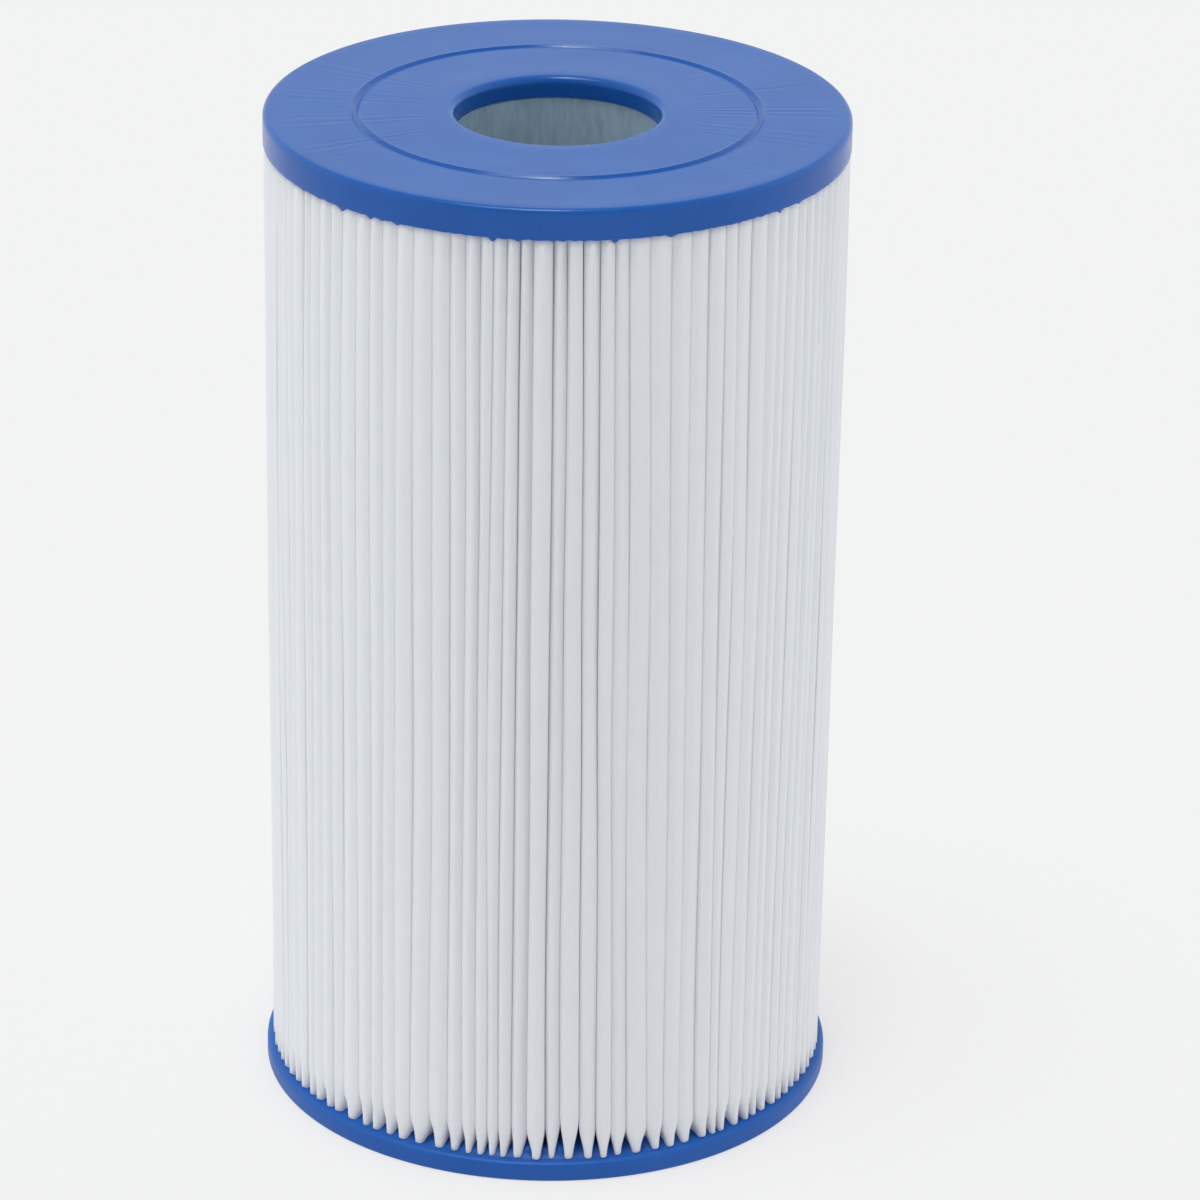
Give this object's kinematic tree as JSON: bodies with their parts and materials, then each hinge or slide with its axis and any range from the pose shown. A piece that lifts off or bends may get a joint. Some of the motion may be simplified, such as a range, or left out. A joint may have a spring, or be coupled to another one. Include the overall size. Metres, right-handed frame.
{
  "type": "pleated filter cartridge",
  "caption": "Cylindrical pleated filter cartridge with two moulded ring end caps, folded cloth media round a lattice core, and a bore open at both ends.",
  "frame": {"origin": "centre of the bottom cap's lower face", "axes": "+Z along the bore axis, from the bottom cap to the grooved top cap; X and Y are the cap's radii, with the media seam at +Y"},
  "size_m": [0.1536, 0.1536, 0.273],
  "materials": {
    "cap_urethane": "satin",
    "media_cloth": "matt nonwoven",
    "seam_weld": "satin",
    "core_plastic": "satin"
  },
  "bodies": {
    "root": {"top_end_cap": "cap_urethane", "bottom_end_cap": "cap_urethane", "pleated_media": "media_cloth", "media_seam": "seam_weld", "core_section_1": "core_plastic", "core_section_2": "core_plastic", "core_section_3": "core_plastic", "core_section_4": "core_plastic"}
  },
  "joints": []
}
